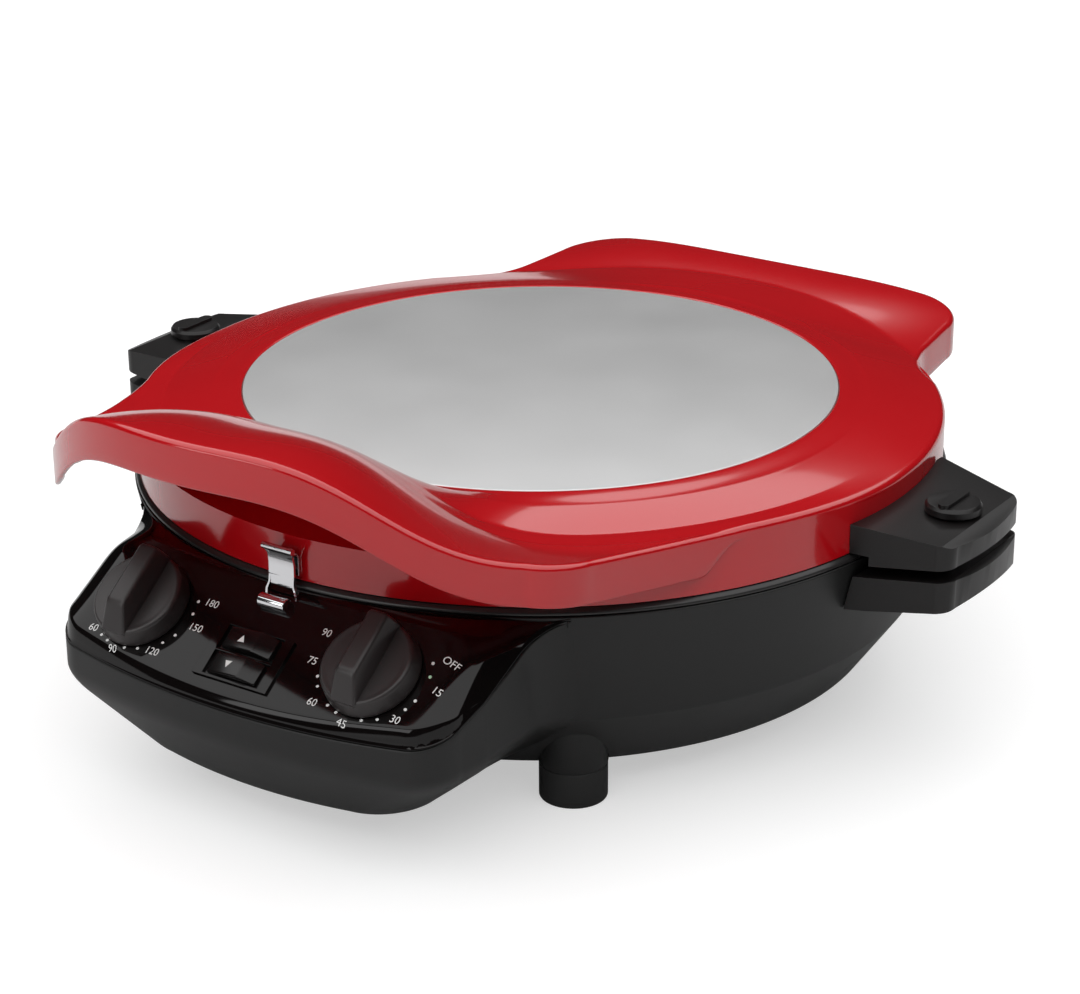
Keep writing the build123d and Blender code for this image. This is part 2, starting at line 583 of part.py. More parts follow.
# Hinge: two brackets on the bowl, two arms inside the lid's back wing
ear_in = ARM_W / 2 + MOVING
bracket_side = Polygon((168, 82), (188, 80), (202, 91), (202.4, 97), (191.6, 97),
                       (188, 92), (168, 92), align=None) + Pos(HINGE_Y, HINGE_Z) * Circle(HINGE_R)
bracket = side_plate(HINGE_X - ear_in - EAR_W, HINGE_X - ear_in, bracket_side)
bracket += side_plate(HINGE_X + ear_in, HINGE_X + ear_in + EAR_W, bracket_side)
bracket += block(HINGE_X - ear_in - 1, HINGE_X + ear_in + 1, 165, 188, 80.5, 91)
bracket -= bowl(FIT, SHELL_TOP) + disc(RIM_R + FIT, 90, 130)
bracket -= rod_x(HINGE_PIN_R + 0.03, 0, 100, HINGE_Y, HINGE_Z)
arm_side = Pos(HINGE_Y, HINGE_Z) * Circle(HINGE_R) + Polygon(
    (191, 97), (203, 97), (206, LID_TOP - 18), (206, LID_TOP + 2), (170, LID_TOP + 2),
    (170, LID_TOP - 20), (189, 107), align=None)
arm = side_plate(HINGE_X - ARM_W / 2, HINGE_X + ARM_W / 2, arm_side) & below_skin
arm -= disc(LID_R + FIT, 60, 200)
arm -= rod_x(HINGE_PIN_R + RUNNING, 0, 100, HINGE_Y, HINGE_Z)
pin = rod_x(HINGE_PIN_R, HINGE_X - ear_in - EAR_W, HINGE_X + ear_in + EAR_W, HINGE_Y, HINGE_Z)
for side in ("left", "right"):
    turn = mirrored if side == "left" else (lambda solid: solid)
    put("hinge_bracket_" + side, turn(bracket))
    put("hinge_arm_" + side, turn(arm))
    put("hinge_pin_" + side, turn(pin))

# Toggle latch: bracket in the pocket, lever with a barrel grip, strap loop, catch
ear_outline = Pos(LATCH_PIN_Y, LATCH_PIN_Z) * Circle(1.8) + Polygon(
    (LATCH_PIN_Y - 3, 84.2), (LATCH_PIN_Y + 1.8, 84.2), (LATCH_PIN_Y + 1.8, LATCH_PIN_Z),
    (LATCH_PIN_Y - 1.8, LATCH_PIN_Z), align=None)
cheek_in = BARREL_X - 1
ear_out = cheek_in - 0.3
latch_bracket = block(-ear_out, ear_out, LATCH_PIN_Y - 6, LATCH_PIN_Y + 2, 83.9, 85.1)
latch_bracket += side_plate(-ear_out, 1.1 - ear_out, ear_outline)
latch_bracket += side_plate(ear_out - 1.1, ear_out, ear_outline)
latch_bracket -= rod_x(1.03, -10, 10, LATCH_PIN_Y, LATCH_PIN_Z)
put("latch_bracket", latch_bracket)
put("latch_pin", rod_x(1.0, -BARREL_X, BARREL_X, LATCH_PIN_Y, LATCH_PIN_Z))
cheek = make_hull([
    *(Pos(LATCH_PIN_Y, LATCH_PIN_Z) * Circle(1.9)).edges(),
    *(Pos(LOOP_PIN_Y, LOOP_PIN_Z) * Circle(1.6)).edges(),
    *(Pos(BARREL_Y, BARREL_Z) * Circle(2.2)).edges(),
])
lever = rod_x(BARREL_R, -BARREL_X, BARREL_X, BARREL_Y, BARREL_Z)
lever += side_plate(-BARREL_X, -cheek_in, cheek) + side_plate(cheek_in, BARREL_X, cheek)
lever -= rod_x(1.0 + RUNNING, -10, 10, LATCH_PIN_Y, LATCH_PIN_Z)
lever -= rod_x(LOOP_PIN_R + RUNNING, -10, 10, LOOP_PIN_Y, LOOP_PIN_Z)
put("latch_lever", lever)
strap_side = make_face([
    Line((-187.0, 97.6), (-186.8, 106.8)),
    ThreePointArc((-186.8, 106.8), (-187.2, 109.6), (-188.9, 114.2)),
    Line((-188.9, 114.2), (-187.9, 114.6)),
    ThreePointArc((-187.9, 114.6), (-186.1, 109.4), (-186.8 + LOOP_T, 106.8)),
    Line((-186.8 + LOOP_T, 106.8), (-187.0 + LOOP_T, 97.6)),
    Line((-187.0 + LOOP_T, 97.6), (-187.0, 97.6)),
])
leg_side = make_hull([
    *(Pos(LOOP_PIN_Y, LOOP_PIN_Z) * Circle(1.5)).edges(),
    *(Pos(-187.0 + LOOP_T / 2, 100) * Rectangle(LOOP_T, 3)).edges(),
])
loop = side_plate(-LOOP_X, LOOP_X, strap_side)
loop += rod_x(LOOP_BAR_R, -LOOP_X, LOOP_X, LOOP_BAR_Y, LOOP_BAR_Z)
for s in (-1, 1):
    leg = side_plate(LOOP_X - 1.0, LOOP_X, leg_side) + rod_x(LOOP_PIN_R, cheek_in, LOOP_X, LOOP_PIN_Y, LOOP_PIN_Z)
    loop += leg if s > 0 else mirrored(leg)
put("latch_loop", loop)
catch_side = make_face([
    Line((-181.7, 101.5), (-181.7, 108.5)),
    ThreePointArc((-181.7, 108.5), (-182.6, 110.6), (-184.6, 111.6)),
    Line((-184.6, 111.6), (-185.3, 113.4)),
    Line((-185.3, 113.4), (-184.6, 113.7)),
    Line((-184.6, 113.7), (-183.7, 112.3)),
    ThreePointArc((-183.7, 112.3), (-181.9, 111.2), (-180.8, 109.4)),
    Line((-180.8, 109.4), (-180.8, 101.5)),
    Line((-180.8, 101.5), (-181.7, 101.5)),
])
put("latch_catch", Pos(0, -0.95, 0) * side_plate(-5.5, 5.5, catch_side) - disc(LID_R + 0.05, 90, 120))
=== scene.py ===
import json
import math

import bmesh
import bpy
import numpy as np
from mathutils import Matrix, Vector


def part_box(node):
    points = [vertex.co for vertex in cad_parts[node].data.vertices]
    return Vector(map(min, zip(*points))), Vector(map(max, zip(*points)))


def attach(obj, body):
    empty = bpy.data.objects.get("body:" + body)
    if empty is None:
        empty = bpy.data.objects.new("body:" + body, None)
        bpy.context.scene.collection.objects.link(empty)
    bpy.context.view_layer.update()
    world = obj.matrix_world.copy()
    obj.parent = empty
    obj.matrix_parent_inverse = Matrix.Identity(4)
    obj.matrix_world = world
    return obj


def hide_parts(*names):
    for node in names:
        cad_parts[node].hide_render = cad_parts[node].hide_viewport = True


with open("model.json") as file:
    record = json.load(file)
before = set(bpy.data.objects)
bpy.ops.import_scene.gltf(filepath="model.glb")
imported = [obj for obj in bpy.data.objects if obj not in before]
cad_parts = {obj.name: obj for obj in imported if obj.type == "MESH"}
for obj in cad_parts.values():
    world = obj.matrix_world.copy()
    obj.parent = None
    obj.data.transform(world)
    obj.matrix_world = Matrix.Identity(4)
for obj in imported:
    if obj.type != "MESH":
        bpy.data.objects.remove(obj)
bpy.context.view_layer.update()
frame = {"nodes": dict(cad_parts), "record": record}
nodes = frame["nodes"]

# Lengths below are in mm about the middle of the round plates, Z up from the table.
MM = 0.001
disc_low, disc_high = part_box("top_disc")
PLATE_Y = (disc_low[1] + disc_high[1]) / 2 / MM

# Lid: grey disc, round wall, top, hood lip, back edge, sheet thickness
DISC_R = 134.0
LID_R = 181.5
LID_TOP = 130.0
LIP_Y = -102.0
LIP_R = 147.0
BACK_Y = 212.0
SKIN_T = 2.3
EDGE = 2.6

# Bowl, housing and feet
RIM_R = 185.0
BOWL_TOP_R = 183.7
BOWL_TOP_Z = 95.7
BOWL_FOLD_R = 173.5
FOLD_Z = 45.0
FOOT_Z = 16.2
HOUSE_W = 102.5
HOUSE_FRONT = 228.6
OUTLINE_Z = 94.0
BLEND_R = 28.0
FOOT_X = 95.9
FOOT_Y = 117.7
FOOT_R = 14.5
BOSS_R = 14.7

# Panel and what stands on it
PANEL_Y = -203.4
PANEL_Z = 81.5
PANEL_TILT = math.radians(36.5)
PANEL_SLOPE = 0.74
PANEL_TOP = 96.3
PANEL_ROLL = 2.4
PANEL_BACK_R = RIM_R - 1.2
KNOB_X = 59.3
KNOB_V = -0.8
KNOB_R = 20.8
KNOB_RIM_H = 9.0
KNOB_H = 17.8


def smooth(value):
    part = min(max(value, 0.0), 1.0)
    return part * part * (3 - 2 * part)


# Mesh helpers
def piece(name, verts, faces, material, body, stands_for=(), sharp=35):
    """A mesh piece that rides a body and is shown in place of the CAD nodes it stands for."""
    mesh = bpy.data.meshes.new(name)
    mesh.from_pydata([(x * MM, (y + PLATE_Y) * MM, z * MM) for x, y, z in verts], [], faces)
    return finish_piece(name, mesh, material, body, stands_for, sharp)


def finish_piece(name, mesh, material, body, stands_for=(), sharp=35):
    work = bmesh.new()
    work.from_mesh(mesh)
    bmesh.ops.remove_doubles(work, verts=work.verts, dist=1e-6)
    bmesh.ops.recalc_face_normals(work, faces=work.faces)
    work.to_mesh(mesh)
    work.free()
    mesh.shade_smooth()
    mesh.set_sharp_from_angle(angle=math.radians(sharp))
    made = bpy.data.objects.new(name, mesh)
    bpy.context.scene.collection.objects.link(made)
    made.data.materials.append(material)
    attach(made, body)
    if stands_for:
        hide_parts(*stands_for)
    return made


def ring_faces(rows, around, closed=True):
    """Quads between rows of points that have the same number of points."""
    faces = []
    span = around if closed else around - 1
    for i in range(rows - 1):
        for j in range(span):
            k = (j + 1) % around
            faces.append((i * around + j, i * around + k, (i + 1) * around + k, (i + 1) * around + j))
    return faces


def arc3(a, b, c, count):
    """Points on the round arc from a through b to c, without the last one."""
    (ax, ay), (bx, by), (cx, cy) = a, b, c
    d = 2 * (ax * (by - cy) + bx * (cy - ay) + cx * (ay - by))
    a2, b2, c2 = ax * ax + ay * ay, bx * bx + by * by, cx * cx + cy * cy
    ux = (a2 * (by - cy) + b2 * (cy - ay) + c2 * (ay - by)) / d
    uy = (a2 * (cx - bx) + b2 * (ax - cx) + c2 * (bx - ax)) / d
    r = math.hypot(ax - ux, ay - uy)
    start, mid, stop = (math.atan2(p[1] - uy, p[0] - ux) for p in (a, b, c))
    turn = (stop - start) % (2 * math.pi)
    if (mid - start) % (2 * math.pi) > turn:
        turn -= 2 * math.pi
    return [(ux + r * math.cos(start + turn * i / count), uy + r * math.sin(start + turn * i / count))
            for i in range(count)]


def line(a, b, count):
    """Points on the straight line from a to b, without the last one."""
    return [(a[0] + (b[0] - a[0]) * i / count, a[1] + (b[1] - a[1]) * i / count) for i in range(count)]


def both_sides(right):
    """Closes an outline given from the front middle round the right side to the back middle."""
    left = [(-x, y) for x, y in reversed(right[1:-1])]
    return right + left


def inward(points):
    """Unit normals of a closed outline that point into it."""
    p = np.array(points)
    along = np.roll(p, -1, 0) - np.roll(p, 1, 0)
    along /= np.linalg.norm(along, axis=1)[:, None]
    area = np.sum(p[:, 0] * np.roll(p[:, 1], -1) - np.roll(p[:, 0], -1) * p[:, 1])
    side = 1 if area > 0 else -1
    return np.stack([-along[:, 1], along[:, 0]], 1) * side


def turned(profile, around=180, cx=0.0, cy=0.0):
    """A profile of radius and height swept round an upright axis."""
    verts = []
    for r, z in profile:
        for j in range(around):
            a = 2 * math.pi * j / around
            verts.append((cx + r * math.cos(a), cy + r * math.sin(a), z))
    return verts, ring_faces(len(profile), around)


def curve(a, b, c, t):
    """A value that goes from a to c, pulled towards b on the way."""
    return (1 - t) ** 2 * a + 2 * t * (1 - t) * b + t * t * c


def rounded(points, radius, steps=5):
    """Rounds the inner corners of an open profile."""
    out = [points[0]]
    for before, corner, after in zip(points, points[1:], points[2:]):
        b, c, a = (np.array(v, float) for v in (before, corner, after))
        u, v = b - c, a - c
        lu, lv = np.linalg.norm(u), np.linalg.norm(v)
        cut = min(radius, lu * 0.45, lv * 0.45)
        p, q = c + u / lu * cut, c + v / lv * cut
        for i in range(steps + 1):
            t = i / steps
            out.append(tuple(curve(p, c, q, t)))
    out.append(points[-1])
    return out


def joined(*parts):
    """Several lists of points and faces as one."""
    verts, faces = [], []
    for v, f in parts:
        base = len(verts)
        verts += list(v)
        faces += [tuple(i + base for i in face) for face in f]
    return verts, faces


# Node materials: broad noise varies colour and roughness, fine grain gives the relief
BROAD_SCALE = 22


def material(name, colour, rough, metal=0.0, coat=0.0, coat_rough=0.03, grain=900, bump=0.05,
             bump_mm=0.05, vary=0.08, rough_vary=0.06, shine=0.5, specks=False, second=None):
    made = bpy.data.materials.new(name)
    made.use_nodes = True
    tree = made.node_tree
    shader = tree.nodes["Principled BSDF"]
    coords = tree.nodes.new("ShaderNodeTexCoord")
    shader.inputs["Metallic"].default_value = metal
    shader.inputs["Specular IOR Level"].default_value = shine
    shader.inputs["Coat Weight"].default_value = coat
    shader.inputs["Coat Roughness"].default_value = coat_rough

    broad = tree.nodes.new("ShaderNodeTexNoise")
    broad.inputs["Scale"].default_value = BROAD_SCALE
    broad.inputs["Detail"].default_value = 4
    fine = tree.nodes.new("ShaderNodeTexVoronoi" if specks else "ShaderNodeTexNoise")
    fine.inputs["Scale"].default_value = grain
    if not specks:
        fine.inputs["Detail"].default_value = 3
    tree.links.new(coords.outputs["Object"], broad.inputs["Vector"])
    tree.links.new(coords.outputs["Object"], fine.inputs["Vector"])

    mix = tree.nodes.new("ShaderNodeMix")
    mix.data_type = "RGBA"
    dark = [c * (1 - vary) for c in colour]
    light = list(second) if second else [min(c * (1 + vary), 1) for c in colour]
    mix.inputs["A"].default_value = (*dark, 1)
    mix.inputs["B"].default_value = (*light, 1)
    tree.links.new(broad.outputs["Fac"], mix.inputs["Factor"])
    tree.links.new(mix.outputs["Result"], shader.inputs["Base Color"])

    spread = tree.nodes.new("ShaderNodeMapRange")
    spread.inputs["To Min"].default_value = max(rough - rough_vary, 0.01)
    spread.inputs["To Max"].default_value = rough + rough_vary
    tree.links.new(broad.outputs["Fac"], spread.inputs["Value"])
    tree.links.new(spread.outputs["Result"], shader.inputs["Roughness"])

    relief = tree.nodes.new("ShaderNodeBump")
    relief.inputs["Strength"].default_value = bump
    relief.inputs["Distance"].default_value = bump_mm * MM
    out = fine.outputs["Distance"] if specks else fine.outputs["Fac"]
    tree.links.new(out, relief.inputs["Height"])
    tree.links.new(relief.outputs["Normal"], shader.inputs["Normal"])
    return made


RED = material("red_enamel", (0.50, 0.004, 0.008), 0.16, coat=0.6, coat_rough=0.05, grain=260,
               bump=0.12, bump_mm=0.02, vary=0.05, rough_vary=0.03)
DISC = material("satin_disc", (0.70, 0.70, 0.70), 0.38, metal=0.75, grain=1500, bump=0.15,
                bump_mm=0.01, vary=0.03, rough_vary=0.03)
GLOSS = material("gloss_black", (0.004, 0.003, 0.003), 0.06, shine=0.32, grain=200,
                 bump=0.05, bump_mm=0.01, vary=0.15, rough_vary=0.02)
MATTE = material("matte_black", (0.009, 0.009, 0.009), 0.42, shine=0.4, grain=1600, bump=0.35, bump_mm=0.03,
                 vary=0.12, specks=True)
HANDLE = material("handle_black", (0.008, 0.007, 0.007), 0.3, shine=0.4, grain=1300, bump=0.25, bump_mm=0.02,
                  vary=0.12, specks=True)
KNOB = material("knob_black", (0.022, 0.018, 0.018), 0.36, grain=1500, bump=0.25, bump_mm=0.02,
                vary=0.12, specks=True)
TRIM = material("trim_black", (0.020, 0.019, 0.019), 0.3, grain=1200, bump=0.2, bump_mm=0.02, vary=0.1)
SWITCH = material("switch_black", (0.006, 0.005, 0.005), 0.14, shine=0.4, grain=900,
                  bump=0.1, bump_mm=0.01, vary=0.1)
FITTING = material("fitting_black", (0.016, 0.016, 0.016), 0.45, grain=1200,
                   bump=0.25, bump_mm=0.02, specks=True)
RUBBER = material("foot_rubber", (0.012, 0.012, 0.012), 0.6, grain=900,
                  bump=0.4, bump_mm=0.04, vary=0.2, specks=True)
CHROME = material("bright_chrome", (0.80, 0.80, 0.82), 0.1, metal=1.0, grain=600,
                  bump=0.08, bump_mm=0.01, vary=0.03)
NONSTICK = material("nonstick_coat", (0.022, 0.022, 0.024), 0.38, grain=700, bump=0.4, bump_mm=0.03,
                    vary=0.15, specks=True, second=(0.04, 0.04, 0.043))
PAN = material("aluminised_steel", (0.55, 0.56, 0.57), 0.35, metal=1.0, grain=500,
               bump=0.2, bump_mm=0.02, vary=0.1)
STEEL = material("brushed_steel", (0.50, 0.50, 0.49), 0.32, metal=1.0, grain=800,
                 bump=0.2, bump_mm=0.02, vary=0.08)
DARK_STEEL = material("dark_steel", (0.020, 0.020, 0.020), 0.4, metal=0.3, grain=900, bump=0.2, bump_mm=0.02)
ELEMENT = material("element_steel", (0.24, 0.21, 0.18), 0.45, metal=1.0, grain=300, bump=0.3, bump_mm=0.03,
                   vary=0.2, second=(0.30, 0.22, 0.16))
PRINT = material("white_print", (0.80, 0.80, 0.79), 0.5, grain=1500, bump=0.2, bump_mm=0.01, vary=0.04)
PRINT_GREEN = material("green_print", (0.45, 0.72, 0.50), 0.5, grain=1500, bump=0.2, bump_mm=0.01, vary=0.04)

by_slot = {
    "red_enamel": RED, "satin_disc": DISC, "gloss_black": GLOSS, "matte_black": MATTE,
    "handle_black": HANDLE, "knob_black": KNOB, "rocker_black": SWITCH, "fitting_black": FITTING,
    "rubber": RUBBER, "nonstick": NONSTICK, "trim_black": TRIM, "aluminised_steel": PAN,
    "mechanism_steel": STEEL, "dark_steel": DARK_STEEL, "element_steel": ELEMENT, "bright_steel": CHROME,
}
slot_of = {row["node"]: row["material_slot"] for row in frame["record"]["subparts"]}
body_of = {node: body for body, members in frame["record"]["behaviour"]["bodies"].items() for node in members}
for name, shown in nodes.items():
    shown.data.materials.clear()
    shown.data.materials.append(by_slot[slot_of[name]])


def softened(node, width=0.5, angle=32, segments=3, mat=None, reshape=None):
    """A copy of a CAD node with its edges rounded over, shown in the node's place."""
    mesh = nodes[node].data.copy()
    work = bmesh.new()
    work.from_mesh(mesh)
    bmesh.ops.remove_doubles(work, verts=work.verts, dist=2e-6)
    bmesh.ops.dissolve_limit(work, angle_limit=math.radians(0.5), verts=work.verts, edges=work.edges)
    bmesh.ops.recalc_face_normals(work, faces=work.faces)
    if reshape:
        reshape(work)
    work.to_mesh(mesh)
    work.free()
    mesh.materials.clear()
    mesh.materials.append(mat or by_slot[slot_of[node]])
    mesh.shade_smooth()
    made = bpy.data.objects.new(node + "_shown", mesh)
    bpy.context.scene.collection.objects.link(made)
    mesh.set_sharp_from_angle(angle=math.radians(angle))
    bevel = made.modifiers.new("edges", "BEVEL")
    bevel.width = width * MM
    bevel.segments = segments
    bevel.limit_method = "ANGLE"
    bevel.angle_limit = math.radians(angle)
    bevel.use_clamp_overlap = True
    bevel.harden_normals = True
    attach(made, body_of[node])
    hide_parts(node)
    return made


# Lid cover: the same kind of height formula as the CAD lid, on a fine mesh with a rolled edge
DISC_STEP = 1.4
FALL_R, FALL_W, FALL_DROP = 148.0, 33.5, 6.2
WING_RISE, WING_HALF_W, WING_Y, WING_RUN = 7.5, 106.0, 130.0, 74.0
FLANK_RISE, FLANK_R, FLANK_W, FLANK_RUN = 11.0, 170.0, 52.0, 86.0
HOOD_START_R = 136.0
HOOD_RISE, HOOD_HALF_W, HOOD_SPREAD = 47.0, 50.0, 40.3


def lid_height(x, y):
    """Height of the lid's top: a round dome, a back wing, and in front flanks and the arched hood."""
    r = math.hypot(x, y)
    fall = min(max(0.0, (r - FALL_R) / FALL_W), 1.0)
    dome = LID_TOP - DISC_STEP * smooth((r - DISC_R) / 16) - FALL_DROP * fall ** 1.1
    if y > 0:
        return dome + WING_RISE * math.exp(-(abs(x) / WING_HALF_W) ** 5) * smooth((y - WING_Y) / WING_RUN)
    flank = dome + FLANK_RISE * max(0.0, (r - FLANK_R) / FLANK_W) ** 0.9 * smooth(-y / FLANK_RUN)
    start = -math.sqrt(max(HOOD_START_R ** 2 - x * x, 0.0))
    lip = LIP_Y - math.sqrt(max(LIP_R ** 2 - x * x, 0.0))
    t = min(max((start - y) / (start - lip), 0.0), 1.15)
    if t <= 0:
        return dome
    mid = math.exp(-(abs(x) / (HOOD_HALF_W + HOOD_SPREAD * t)) ** (2.5 + 1.5 * t))
    swell = 1 - max(1 - t, 0.0) ** 2.4
    return (1 - mid) * flank + mid * (LID_TOP - 1 + 4.5 * t) + HOOD_RISE * mid * swell


FRONT_Y = LIP_Y - LIP_R
UNDER_R = 137.0
SKIN_ROWS = 56
EDGE_ROWS = 6
UNDER_ROWS = 14
lid_outline = both_sides(
    arc3((0, FRONT_Y), (62, -235.29), (120, -187), 70)
    + arc3((120, -187), (130.5, -176), (135, -162), 16)
    + arc3((135, -162), (145.5, -124), (159.5, -86.6), 34)
    + arc3((159.5, -86.6), (LID_R, 0), (142, 113.05), 90)
    + arc3((142, 113.05), (123.5, 132), (115, 158), 24)
    + line((115, 158), (112, 184), 12)
    + arc3((112, 184), (104.5, 203), (86, BACK_Y), 18)
    + line((86, BACK_Y), (0, BACK_Y), 30) + [(0, BACK_Y)]
)
lid_normals = inward(lid_outline)
lid_verts = []


def skirt_depth(x, y):
    return 5 + 13 * smooth((math.hypot(x, y) - LID_R - 0.2) / 4)


def lid_row(place):
    """One more row of points round the lid, each placed from its outline point and inward normal."""
    for (x, y), (nx, ny) in zip(lid_outline, lid_normals):
        lid_verts.append(place(x, y, nx, ny))


def seat_point(x, y, nx, ny, r, drop):
    a = math.atan2(y, x)
    px, py = r * math.cos(a), r * math.sin(a)
    return px, py, LID_TOP - drop if drop else lid_height(px, py)


def skin_point(x, y, nx, ny, part):
    a = math.atan2(y, x)
    ix, iy = (DISC_R + 0.9) * math.cos(a), (DISC_R + 0.9) * math.sin(a)
    ox, oy = x + nx * EDGE, y + ny * EDGE
    px, py = ix + (ox - ix) * part, iy + (oy - iy) * part
    return px, py, lid_height(px, py)


def edge_point(x, y, nx, ny, turn):
    inset = EDGE * (1 - math.sin(turn))
    px, py = x + nx * inset, y + ny * inset
    return px, py, lid_height(px, py) - EDGE * (1 - math.cos(turn))


def wall_point(x, y, nx, ny, inset, share):
    px, py = x + nx * inset, y + ny * inset
    top = lid_height(x, y)
    return px, py, top - EDGE - (skirt_depth(x, y) - EDGE) * share


def under_point(x, y, nx, ny, part):
    a = math.atan2(y, x)
    ix, iy = UNDER_R * math.cos(a), UNDER_R * math.sin(a)
    ox, oy = x + nx * SKIN_T, y + ny * SKIN_T
    px, py = ox + (ix - ox) * part, oy + (iy - oy) * part
    return px, py, lid_height(px, py) - SKIN_T


# Rows from the disc's seat out over the top, round the edge, down the skirt and back underneath
for r, drop in ((DISC_R + 0.25, 2.0), (DISC_R + 0.25, 0.5), (DISC_R + 0.45, 0.15)):
    lid_row(lambda x, y, nx, ny: seat_point(x, y, nx, ny, r, drop))
for i in range(SKIN_ROWS + 1):
    lid_row(lambda x, y, nx, ny: skin_point(x, y, nx, ny, i / SKIN_ROWS))
for i in range(1, EDGE_ROWS + 1):
    lid_row(lambda x, y, nx, ny: edge_point(x, y, nx, ny, math.pi / 2 * i / EDGE_ROWS))
for inset, share in ((0, 0.3), (0, 0.65), (0, 0.93), (0.25, 0.985), (0.7, 1.0), (1.6, 1.0),
                     (2.05, 0.985), (SKIN_T, 0.93), (SKIN_T, 0.4), (SKIN_T, 0.05)):
    lid_row(lambda x, y, nx, ny: wall_point(x, y, nx, ny, inset, share))
for i in range(UNDER_ROWS + 1):
    lid_row(lambda x, y, nx, ny: under_point(x, y, nx, ny, i / UNDER_ROWS))
columns = len(lid_outline)
rows = len(lid_verts) // columns
lid_skin = piece("lid_cover_skin", lid_verts, ring_faces(rows, columns), RED, "lid", ["lid_cover"], sharp=60)

# Grey plate in the lid's top, with a small rolled edge
DISC_T = 1.9
plate = turned(rounded([
    (0.0, LID_TOP), (DISC_R, LID_TOP), (DISC_R, LID_TOP - DISC_T), (0.0, LID_TOP - DISC_T),
], 0.5, 4))
top_plate = piece("top_plate", *plate, DISC, "lid", ["top_disc"], sharp=50)

# Housing outline, the smaller outline of its foot, and the glossy panel on it
BEND_STEPS = 24


def bowl_radius(z):
    return BOWL_FOLD_R + (z - FOLD_Z) * (BOWL_TOP_R - BOWL_FOLD_R) / (BOWL_TOP_Z - FOLD_Z)


def house_outline(z):
    """Right half of the housing at one height: its side runs back and blends into the bowl."""
    x = HOUSE_W - 0.2
    cx = x + BLEND_R
    cy = -math.sqrt((bowl_radius(z) + BLEND_R) ** 2 - cx * cx)
    side = line((HOUSE_W, -190), (x, cy), 20)
    stop = math.atan2(-cy, -cx)
    bend = []
    for i in range(BEND_STEPS + 1):
        a = math.pi + (stop - math.pi) * i / BEND_STEPS
        bend.append((cx + BLEND_R * math.cos(a), cy + BLEND_R * math.sin(a)))
    return house_front + side + bend


house_front = (
    arc3((0, -HOUSE_FRONT), (43, -226.59), (86, -220.5), 50)
    + arc3((86, -220.5), (96.5, -214), (100.5, -202.5), 20)
    + line((100.5, -202.5), (HOUSE_W, -190), 8)
)
foot_right = (
    arc3((0, -211.5), (23, -210.26), (46, -206.5), 50)
    + arc3((46, -206.5), (62.5, -198), (69, -180), 20)
    + line((69, -180), (69.5, -170), 8)
    + line((69.5, -170), (70.5, -139), 44) + [(70.5, -139)]
)


# The panel's edge line climbs backwards, a little less steeply at the chin
EDGE_Y, EDGE_Z, EDGE_SLOPE = -222.0, 60.0, 0.4515
CHIN_Y, CHIN_SLOPE = -205.0, 0.1
TOP_BLEND = 1.6
SHOULDER_Y, SHOULDER_W, SHOULDER_L = -168.0, 11.0, 22.0
FRONT_BOW = 910.0
CORNER_X, CORNER_R = 84.0, 16.5


def edge_height(y):
    return EDGE_Z + EDGE_SLOPE * (y - EDGE_Y) + CHIN_SLOPE * max(0.0, CHIN_Y - y)


def panel_height(x, y):
    """Height of the panel: a slope that blends into a level top and rolls down at its edges."""
    slope = PANEL_Z + PANEL_SLOPE * (y - PANEL_Y)
    a, b = -PANEL_TOP / TOP_BLEND, -slope / TOP_BLEND
    flat = -TOP_BLEND * (max(a, b) + math.log(math.exp(a - max(a, b)) + math.exp(b - max(a, b))))
    half = HOUSE_W - 0.3
    if y > SHOULDER_Y:
        half += SHOULDER_W * ((y - SHOULDER_Y) / SHOULDER_L) ** 2
    side = min((abs(x) / half) ** 16, 1.0)
    across = min(abs(x), 100.0)
    front = across ** 2 / FRONT_BOW - HOUSE_FRONT
    front += CORNER_R - math.sqrt(CORNER_R ** 2 - max(across - CORNER_X, 0.0) ** 2)
    near = min(max(1 - (y - front) / PANEL_ROLL, 0.0), 1.0)
    edge = edge_height(y)
    return edge + (flat - edge) * (1 - side) * (1 - near ** 2)


def mirrored_over(right):
    """An open outline from the back left round the front to the back right."""
    return [(-x, y) for x, y in reversed(right[1:])] + right


outline = mirrored_over(house_outline(OUTLINE_Z))
low_outline = mirrored_over(house_outline(FOLD_Z))
foot_outline = mirrored_over(foot_right)
house_normals = inward(outline + [(0, -100)])[:-1]
panel_cols = len(outline)


def back_point(k):
    """Point k of the panel's back edge, which follows the round trim."""
    limit = math.atan2(outline[-1][0], -outline[-1][1])
    a = limit * (2 * k / (panel_cols - 1) - 1)
    return PANEL_BACK_R * math.sin(a), -PANEL_BACK_R * math.cos(a)


PANEL_ROWS = 40
panel_verts = []
for i in range(PANEL_ROWS + 1):
    part = math.sin(i / PANEL_ROWS * math.pi / 2)
    for k, ((ox, oy), (nx, ny)) in enumerate(zip(outline, house_normals)):
        bx, by = back_point(k)
        fx, fy = ox + nx * 0.5, oy + ny * 0.5
        px, py = bx + (fx - bx) * part, by + (fy - by) * part
        panel_verts.append((px, py, panel_height(px, py)))
for inset, drop in ((0.22, 0.1), (0.05, 0.35), (0.0, 0.7), (0.3, 0.9), (1.2, 1.0)):
    for (ox, oy), (nx, ny) in zip(outline, house_normals):
        px, py = ox + nx * inset, oy + ny * inset
        panel_verts.append((px, py, edge_height(py) - drop))
panel_faces = ring_faces(len(panel_verts) // panel_cols, panel_cols, closed=False)
panel = piece("panel_pillow", panel_verts, panel_faces, GLOSS, "base", ["control_panel"], sharp=50)


